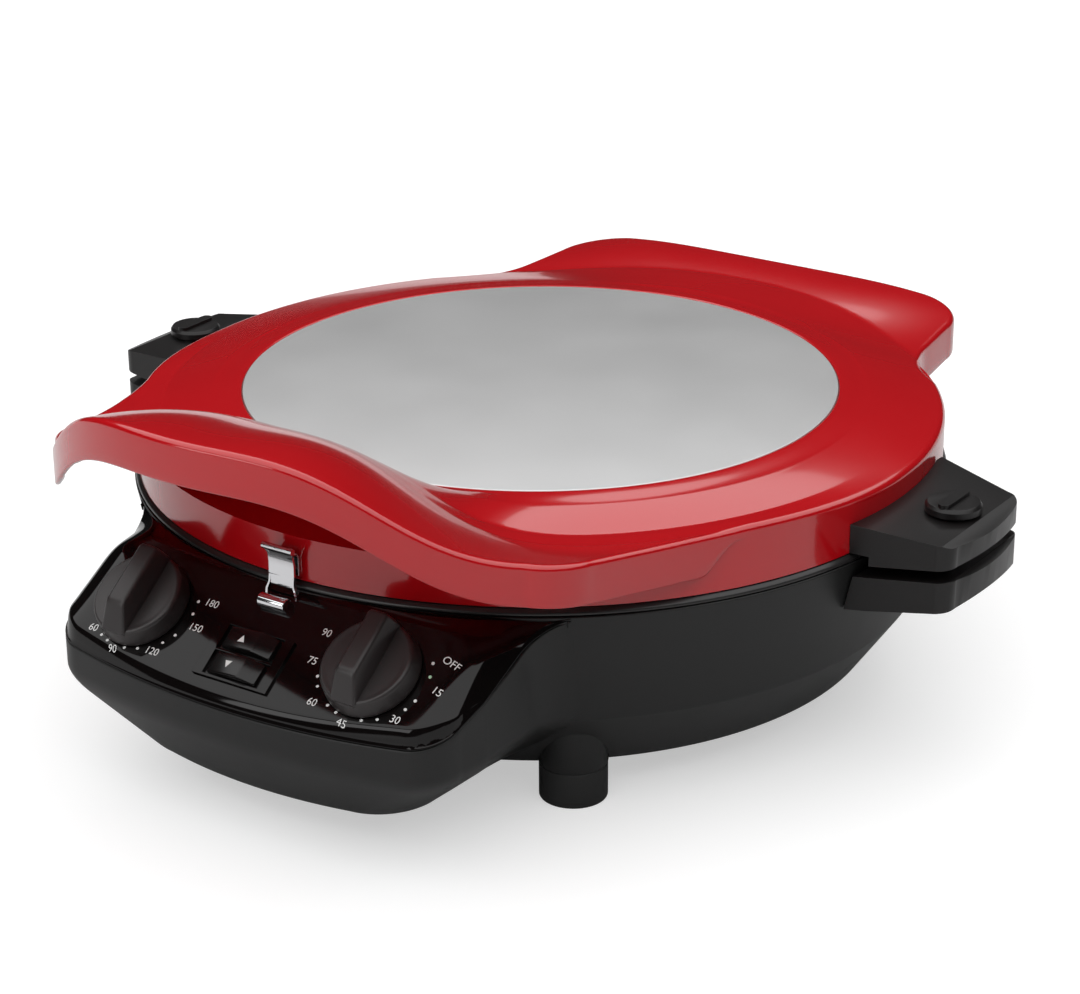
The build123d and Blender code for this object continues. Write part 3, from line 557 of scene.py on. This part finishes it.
# Base: bowl of revolution and housing band, one shell with a chamfered foot
BOWL_FOOT_R = 153.3
bowl_profile = rounded([
    (174.6, 92.6), (174.6, 94.0), (181.4, 94.0), (181.4, BOWL_TOP_Z), (BOWL_TOP_R, BOWL_TOP_Z),
    (BOWL_FOLD_R, FOLD_Z), (BOWL_FOOT_R, FOOT_Z), (BOWL_FOOT_R - 2.4, FOOT_Z),
    (BOWL_FOLD_R - 2.5, FOLD_Z), (179.6, 86.0),
], 0.9, 4)
bowl = turned(bowl_profile, 220)


def band_top(y):
    return edge_height(y) - 1.25


# Housing wall, row by row: share of the way in to the foot outline, inset, and height.
# A height is a number, or a formula of y where the row follows the panel's edge.
FOLD_TOP_Z = 50.0
FOLD_SHARE = 0.2
FOOT_SHARE = 0.92
FOLD_LOW_Z = FOLD_Z - FOLD_SHARE * (FOLD_Z - FOOT_Z)
FOOT_TOP_Z = FOOT_Z + (1 - FOOT_SHARE) * (FOLD_Z - FOOT_Z)
band_rows = [
    (0, 2.4, lambda y: band_top(y) - 3), (0, 2.4, band_top), (0, 1.0, band_top),
    (0, 0.35, lambda y: band_top(y) - 0.1), (0, 0.06, lambda y: band_top(y) - 0.4),
    (0, 0, lambda y: band_top(y) - 0.9),
]
for i in range(1, 6):
    band_rows.append((0, 0, lambda y, t=i / 6: (band_top(y) - 0.9) * (1 - t) + FOLD_TOP_Z * t))
for i in range(9):
    t = i / 8
    band_rows.append((FOLD_SHARE * t * t, 0, curve(FOLD_TOP_Z, FOLD_Z, FOLD_LOW_Z, t)))
for i in range(7):
    t = i / 6
    band_rows.append((curve(FOOT_SHARE, 1, 1, t), 1.5 * t * t, curve(FOOT_TOP_Z, FOOT_Z, FOOT_Z, t)))
band_rows += [(1, 2.3, FOOT_Z), (1, 2.5, FOOT_Z + 1.2)]
high_line, low_line, foot_line = (np.array(points) for points in (outline, low_outline, foot_outline))
band_verts = []
for share, inset, height in band_rows:
    for high_point, low_point, foot_point, normal in zip(high_line, low_line, foot_line, house_normals):
        z = height(high_point[1]) if callable(height) else height
        part = min(max((OUTLINE_Z - z) / (OUTLINE_Z - FOLD_Z), 0.0), 1.0)
        at = high_point + (low_point - high_point) * part
        x, y = at + (foot_point - at) * share + normal * inset
        band_verts.append((x, y, z))
band = band_verts, ring_faces(len(band_rows), len(outline), closed=False)
boss_profile = [(BOSS_R, 40), (BOSS_R, 16.6), (BOSS_R - 0.2, 16.1), (2.2, 16.1)]
bosses = []
for sx in (-1, 1):
    for sy in (-1, 1):
        bosses.append(turned(boss_profile, 48, sx * FOOT_X, sy * FOOT_Y))
shell = piece("base_shell_moulding", *joined(bowl, band, *bosses), MATTE, "base", ["base_shell"], sharp=40)

# Trim ring on the bowl's rim
trim_profile = rounded([
    (177.1, 93.9), (177.1, 98.9), (181.3, 98.9), (183.0, 97.4), (183.2, 96.1), (181.4, 96.1),
    (181.4, 93.9), (177.1, 93.9),
], 0.7, 4)
trim = turned(trim_profile, 220)
rim = piece("rim_trim_ring", *trim, TRIM, "base", ["rim_trim"], sharp=50)

# Feet
foot_profile = rounded([
    (2.3, 15.9), (FOOT_R, 15.9), (FOOT_R, 0.0), (8.0, 0.0), (7.4, 0.8), (5.0, 0.9), (5.0, 6.8), (2.3, 6.8),
], 1.0, 4)
for name, sx, sy in (("foot_front_left", -1, -1), ("foot_front_right", 1, -1),
                     ("foot_back_left", -1, 1), ("foot_back_right", 1, 1)):
    turned_foot = turned(foot_profile, 64, sx * FOOT_X, sy * FOOT_Y)
    foot = piece(name + "_pad", *turned_foot, RUBBER, "base", [name], sharp=50)

# Everything on the panel is placed in its sloping plane: u across, v up the slope, n out
V_AXIS = (0.0, math.cos(PANEL_TILT), math.sin(PANEL_TILT))
N_AXIS = (0.0, -math.sin(PANEL_TILT), math.cos(PANEL_TILT))


def on_panel(part, cx=0.0, cv=0.0):
    v, f = part
    moved = [(cx + a, PANEL_Y + (cv + b) * V_AXIS[1] + c * N_AXIS[1],
              PANEL_Z + (cv + b) * V_AXIS[2] + c * N_AXIS[2]) for a, b, c in v]
    return moved, f


# Knobs: a turned skirt and a grip bar over it
GRIP_HALF_W, GRIP_TAPER = 6.2, 1.6
GRIP_FRONT, GRIP_SLOPE = -19.5, 9.6
GRIP_BACK, GRIP_LEAN = 19.6, 1.2
GRIP_CORNER_R = 1.5
GRIP_CORNER_STEPS = 6


def grip_outline(height, inset):
    """The grip bar at one height over the panel: narrower upwards, sloping to a pointer in front."""
    rise = max(height - KNOB_RIM_H, 0.0) / (KNOB_H - KNOB_RIM_H)
    w = GRIP_HALF_W - GRIP_TAPER * rise - inset
    low = GRIP_FRONT + GRIP_SLOPE * rise + 1.3 * inset
    high = GRIP_BACK - GRIP_LEAN * rise - inset
    r = min(GRIP_CORNER_R, w * 0.8)
    corners = ((w - r, high - r, 0), (r - w, high - r, 90), (r - w, low + r, 180), (w - r, low + r, 270))
    points = []
    for cx, cy, start in corners:
        for k in range(GRIP_CORNER_STEPS):
            a = math.radians(start + 90 / (GRIP_CORNER_STEPS - 1) * k)
            points.append((cx + r * math.cos(a), cy + r * math.sin(a), height))
    return points


knob_skirt = turned(rounded([
    (3.2, 0.5), (KNOB_R, 0.5), (KNOB_R, 1.8), (KNOB_R - 1.0, 8.0), (KNOB_R - 2.0, KNOB_RIM_H),
    (KNOB_R - 4.2, 8.7), (0.0, 8.3),
], 0.8, 5), 120)
grip_rows = [(7.0, 0.0), (9.0, 0.0), (11.0, 0.0), (13.0, 0.0), (15.0, 0.0), (16.3, 0.0), (16.9, 0.08),
             (17.35, 0.3), (17.65, 0.7), (17.78, 1.1), (KNOB_H, 1.7)]
grip_verts = [point for height, inset in grip_rows for point in grip_outline(height, inset)]
grip_points = 4 * GRIP_CORNER_STEPS
grip_faces = ring_faces(len(grip_rows), grip_points)
grip_faces.append(tuple(range((len(grip_rows) - 1) * grip_points, len(grip_rows) * grip_points)))
for name, cx, body in (("temperature_knob", -KNOB_X, "temperature_dial"),
                       ("timer_knob", KNOB_X, "timer_dial")):
    whole = on_panel(joined(knob_skirt, (grip_verts, grip_faces)), cx, KNOB_V)
    knob = piece(name + "_cap", *whole, KNOB, body, [name], sharp=40)


# White marks printed on the panel: dots and numbers round each knob, at an angle and a radius
LIFT = 0.06
DOT_R = 24.7
DOT_SIZE = 0.72
DOT_POINTS = 20
TEXT_SIZE = 4.7


def surface_point(cx, u, v, lift):
    """A point on the panel, measured from a knob's middle; the scale is a little flattened in front."""
    v *= 1 - 0.1 * smooth((-v - 8) / 14)
    x = cx + u
    y = PANEL_Y + v * V_AXIS[1]
    return x, y, panel_height(x, y) + lift


def dot(cx, angle):
    """A round dot on the scale of the knob at cx."""
    a = math.radians(angle)
    cu, cv = DOT_R * math.cos(a), DOT_R * math.sin(a)
    v = [surface_point(cx, cu, cv, LIFT)]
    for j in range(DOT_POINTS):
        b = 2 * math.pi * j / DOT_POINTS
        v.append(surface_point(cx, cu + DOT_SIZE * math.cos(b), cv + DOT_SIZE * math.sin(b), LIFT))
    return v, [(0, 1 + j, 1 + (j + 1) % DOT_POINTS) for j in range(DOT_POINTS)]


def flat_patch(cx, u, v):
    """A flat place for a label, lying on the panel round the point (u, v)."""
    middle = np.array(surface_point(cx, u, v, 0))
    right = np.array(surface_point(cx, u + 2.5, v, 0)) - np.array(surface_point(cx, u - 2.5, v, 0))
    up = np.array(surface_point(cx, u, v + 2, 0)) - np.array(surface_point(cx, u, v - 2, 0))
    right /= np.linalg.norm(right)
    out = np.cross(right, up)
    out /= np.linalg.norm(out)
    up = np.cross(out, right)
    above = max(float(np.dot(np.array(surface_point(cx, u + du, v + dv, 0)) - middle, out))
                for du in (-4.5, -2.2, 0, 2.2, 4.5) for dv in (-2.2, 0, 2.2))
    middle = middle + out * (max(above, 0) + LIFT)
    return lambda tx, ty: tuple(middle + right * tx + up * ty)


def text_part(words, place):
    """The faces of a word in Blender's own font, moved to the panel by place."""
    letters = bpy.data.curves.new("mark", "FONT")
    letters.body = words
    letters.size = TEXT_SIZE
    letters.align_x = "CENTER"
    letters.align_y = "CENTER"
    letters.resolution_u = 4
    holder = bpy.data.objects.new("mark", letters)
    bpy.context.scene.collection.objects.link(holder)
    bpy.context.view_layer.update()
    mesh = bpy.data.meshes.new_from_object(holder.evaluated_get(bpy.context.evaluated_depsgraph_get()))
    v = [place(p.co.x, p.co.y) for p in mesh.vertices]
    f = [tuple(poly.vertices) for poly in mesh.polygons]
    bpy.data.objects.remove(holder)
    bpy.data.meshes.remove(mesh)
    bpy.data.curves.remove(letters)
    return v, f


marks = []
timer_dots = (-158, -146, -118, -105, -75.5, -59.5, -28.5, -16, 25)
timer_words = (("90", 162, 31.2), ("75", -173, 29.1), ("60", -130, 29.5), ("45", -93.5, 27.5),
               ("30", -43, 27.2), ("15", 1, 30), ("OFF", 25, 32.5))
heat_dots = (-118, -107.3, -84, -69, -40.5, -25, 2, 16)
heat_words = (("60", -132, 26), ("90", -96, 26.6), ("120", -54, 27.5), ("150", -9, 30), ("180", 14, 31.4))
for cx, dots, words in ((KNOB_X, timer_dots, timer_words), (-KNOB_X, heat_dots, heat_words)):
    for angle in dots:
        marks.append(dot(cx, angle))
    for text, angle, radius in words:
        cu = radius * math.cos(math.radians(angle))
        cv = radius * math.sin(math.radians(angle))
        marks.append(text_part(text, flat_patch(cx, cu, cv)))
print_marks = piece("panel_print", *joined(*marks), PRINT, "base")
GREEN_ANGLE = 11
green = piece("panel_green_dot", *dot(KNOB_X, GREEN_ANGLE), PRINT_GREEN, "base")

# Rockers: roof-shaped keys with a steeper facet at the right end, each with a printed triangle
KEY_LEFT, KEY_RIDGE, KEY_RIGHT = (-12.4, 1.8), (5.2, 4.9), (12.3, 1.6)
KEY_V = {"rocker_upper": -4.6, "rocker_lower": -16.8}
SIGN_U, SIGN_HALF_W = -3.2, 1.9
SIGN_BASE, SIGN_TIP = -1.5, 1.7
SIGN_LIFT = 0.12


def key_top(u):
    """Height of a key's top at u."""
    a, b = (KEY_LEFT, KEY_RIDGE) if u < KEY_RIDGE[0] else (KEY_RIDGE, KEY_RIGHT)
    return a[1] + (b[1] - a[1]) * (u - a[0]) / (b[0] - a[0])


key_side = rounded([
    (0, -6.0), (-8.6, -6.0), (-12.8, -1.5), KEY_LEFT, KEY_RIDGE, KEY_RIGHT, (12.8, -1.5), (8.6, -6.0),
    (0, -6.0),
], 0.9, 4)[:-1]
key_half = ((4.0, 0.0), (4.4, 0.05), (4.75, 0.25), (4.9, 0.7))
key_rows = [(-v, inset) for v, inset in reversed(key_half)] + list(key_half)
key_verts = [(u * (1 - inset / 13), v, n - inset * 0.6) for v, inset in key_rows for u, n in key_side]
key_faces = ring_faces(len(key_rows), len(key_side))
key_faces.append(tuple(range(len(key_side))))
key_faces.append(tuple(range((len(key_rows) - 1) * len(key_side), len(key_rows) * len(key_side))))
for name, way in (("rocker_upper", 1), ("rocker_lower", -1)):
    placed = on_panel((key_verts, key_faces), 0, KEY_V[name])
    key = piece(name + "_key", *placed, SWITCH, name, [name], sharp=40)
    corners = [(SIGN_U - SIGN_HALF_W, SIGN_BASE * way), (SIGN_U + SIGN_HALF_W, SIGN_BASE * way),
               (SIGN_U, SIGN_TIP * way)]
    triangle = [(u, v, key_top(u) + SIGN_LIFT) for u, v in corners], [(0, 1, 2)]
    sign = piece(name + "_triangle", *on_panel(triangle, 0, KEY_V[name]), PRINT, name)


# Frame, latch, handles and locks: CAD shapes with rounded edges
STRAP_LOW_Z, STRAP_BAR_Z, STRAP_NARROWING = 94, 111.3, 0.2


def narrow_strap(work):
    """The strap of the latch is narrower between its hooked bar and its legs."""
    for level in range(STRAP_LOW_Z + 1, STRAP_LOW_Z + 21):
        bmesh.ops.bisect_plane(work, geom=work.verts[:] + work.edges[:] + work.faces[:],
                               plane_co=(0, 0, level * MM), plane_no=(0, 0, 1))
    for vert in work.verts:
        z = vert.co.z / MM
        bar = 1 - 0.75 * smooth((z - STRAP_BAR_Z) / 1.6)
        vert.co.x *= 1 - STRAP_NARROWING * smooth((z - STRAP_LOW_Z) / 5) * bar


softened("switch_frame", 0.35, mat=GLOSS)
for name in ("latch_bracket", "latch_lever", "latch_catch", "latch_pin"):
    softened(name, 0.15, segments=2)
softened("latch_loop", 0.12, segments=2, reshape=narrow_strap)

# Barrel grip of the latch lever, thicker than the CAD barrel inside it
BARREL_R, BARREL_HALF = 3.1, 6.9
BARREL_Y, BARREL_Z = -192.2, 91.9
barrel_side = rounded([(0, -BARREL_HALF), (BARREL_R, -BARREL_HALF), (BARREL_R, BARREL_HALF), (0, BARREL_HALF)],
                      0.8, 5)
barrel_verts, barrel_faces = turned(barrel_side, 48)
barrel_verts = [(w, BARREL_Y + x, BARREL_Z + y) for x, y, w in barrel_verts]
barrel = piece("latch_barrel_grip", barrel_verts, barrel_faces, CHROME, "latch_lever", sharp=50)

for side in ("left", "right"):
    softened("upper_handle_" + side, 1.1, segments=4)
    softened("lower_handle_" + side, 1.1, segments=4)
    softened("handle_lock_" + side, 0.7, segments=4)
    softened("hinge_bracket_" + side, 0.5)
    softened("hinge_arm_" + side, 0.5)

# Camera worked out from the photograph: turn, height and distance about the lid's round plate
TURN = math.radians(34.343)
RISE = math.radians(19.908)
DISTANCE = 1291.6
FOCUS_PX = 2859.7
PHOTO_W_PX = 1080
SENSOR_W = 36
SHIFT_X_PX = -1.125
SHIFT_Y_PX = -118.25
ROLL = math.radians(-0.369)
back = Vector((math.sin(TURN) * math.cos(RISE), -math.cos(TURN) * math.cos(RISE), math.sin(RISE)))
right = Vector((math.cos(TURN), math.sin(TURN), 0))
up = back.cross(right)
yaw = math.atan(SHIFT_X_PX / FOCUS_PX)
pitch = math.atan(SHIFT_Y_PX / FOCUS_PX)
back_yawed = back * math.cos(yaw) - right * math.sin(yaw)
right_yawed = right * math.cos(yaw) + back * math.sin(yaw)
back_final = back_yawed * math.cos(pitch) - up * math.sin(pitch)
up_pitched = up * math.cos(pitch) + back_yawed * math.sin(pitch)
right_final = right_yawed * math.cos(ROLL) + up_pitched * math.sin(ROLL)
up_final = -right_yawed * math.sin(ROLL) + up_pitched * math.cos(ROLL)
lens = bpy.data.cameras.new("camera")
lens.sensor_width = SENSOR_W
lens.lens = SENSOR_W * FOCUS_PX / PHOTO_W_PX
lens.clip_start = 0.05
camera = bpy.data.objects.new("camera", lens)
bpy.context.scene.collection.objects.link(camera)
target = Vector((0, PLATE_Y * MM, LID_TOP * MM))
camera.matrix_world = Matrix.Translation(target + back * DISTANCE * MM) @ Matrix(
    (right_final, up_final, back_final)).transposed().to_4x4()
bpy.context.scene.camera = camera

# Floor: pale, keeps the soft shadow, and shows as white to the camera
FLOOR_HALF = 6
FLOOR_GREY = 0.6
FLOOR_GLOW = 0.5
floor_corners = [(sx * FLOOR_HALF, sy * FLOOR_HALF, 0) for sx, sy in ((-1, -1), (1, -1), (1, 1), (-1, 1))]
floor_mesh = bpy.data.meshes.new("floor")
floor_mesh.from_pydata(floor_corners, [], [(0, 1, 2, 3)])
floor = bpy.data.objects.new("floor", floor_mesh)
bpy.context.scene.collection.objects.link(floor)
floor_mat = bpy.data.materials.new("floor_white")
floor_mat.use_nodes = True
tree = floor_mat.node_tree
tree.nodes.remove(tree.nodes["Principled BSDF"])
diffuse = tree.nodes.new("ShaderNodeBsdfDiffuse")
diffuse.inputs["Color"].default_value = (FLOOR_GREY, FLOOR_GREY, FLOOR_GREY, 1)
glow = tree.nodes.new("ShaderNodeEmission")
ray = tree.nodes.new("ShaderNodeLightPath")
power = tree.nodes.new("ShaderNodeMath")
power.operation = "MULTIPLY"
power.inputs[1].default_value = FLOOR_GLOW
both = tree.nodes.new("ShaderNodeAddShader")
tree.links.new(ray.outputs["Is Camera Ray"], power.inputs[0])
tree.links.new(power.outputs["Value"], glow.inputs["Strength"])
tree.links.new(diffuse.outputs["BSDF"], both.inputs[0])
tree.links.new(glow.outputs["Emission"], both.inputs[1])
tree.links.new(both.outputs["Shader"], tree.nodes["Material Output"].inputs["Surface"])
floor_mesh.materials.append(floor_mat)

# World: a soft tent that is bright overhead and dim near the horizon, white to the camera
TENT_EDGE = math.radians(33)
TENT_BLUR = math.radians(0.5)
TENT_LOW = 0.02
TENT_HIGH = 1.6
world = bpy.data.worlds.new("studio")
bpy.context.scene.world = world
world.use_nodes = True
tree = world.node_tree
sky = tree.nodes["Background"]
sky.inputs["Color"].default_value = (1, 1, 1, 1)
where = tree.nodes.new("ShaderNodeTexCoord")
height = tree.nodes.new("ShaderNodeVectorMath")
height.operation = "DOT_PRODUCT"
height.inputs[1].default_value = (0, 0, 1)
tent = tree.nodes.new("ShaderNodeMapRange")
tent.interpolation_type = "SMOOTHSTEP"
tent.inputs["From Min"].default_value = math.sin(TENT_EDGE - TENT_BLUR)
tent.inputs["From Max"].default_value = math.sin(TENT_EDGE + TENT_BLUR)
tent.inputs["To Min"].default_value = TENT_LOW
tent.inputs["To Max"].default_value = TENT_HIGH
ray = tree.nodes.new("ShaderNodeLightPath")
level = tree.nodes.new("ShaderNodeMix")
level.data_type = "FLOAT"
level.inputs["B"].default_value = 1.0
tree.links.new(where.outputs["Generated"], height.inputs[0])
tree.links.new(height.outputs["Value"], tent.inputs["Value"])
tree.links.new(ray.outputs["Is Camera Ray"], level.inputs["Factor"])
tree.links.new(tent.outputs["Result"], level.inputs["A"])
tree.links.new(level.outputs["Result"], sky.inputs["Strength"])


def softbox(name, place, aim, size, watts):
    """A soft rectangular lamp; its place, aim and size are in metres."""
    lamp = bpy.data.lights.new(name, "AREA")
    lamp.shape = "RECTANGLE"
    lamp.size, lamp.size_y = size
    lamp.energy = watts
    made = bpy.data.objects.new(name, lamp)
    bpy.context.scene.collection.objects.link(made)
    made.location = place
    made.rotation_mode = "QUATERNION"
    made.rotation_quaternion = (Vector(aim) - Vector(place)).to_track_quat("-Z", "Y")


softbox("front_light", (-0.6, -2.2, 0.75), (0, -0.1, 0.1), (1.6, 0.7), 9)

bpy.context.scene.view_settings.view_transform = "Standard"
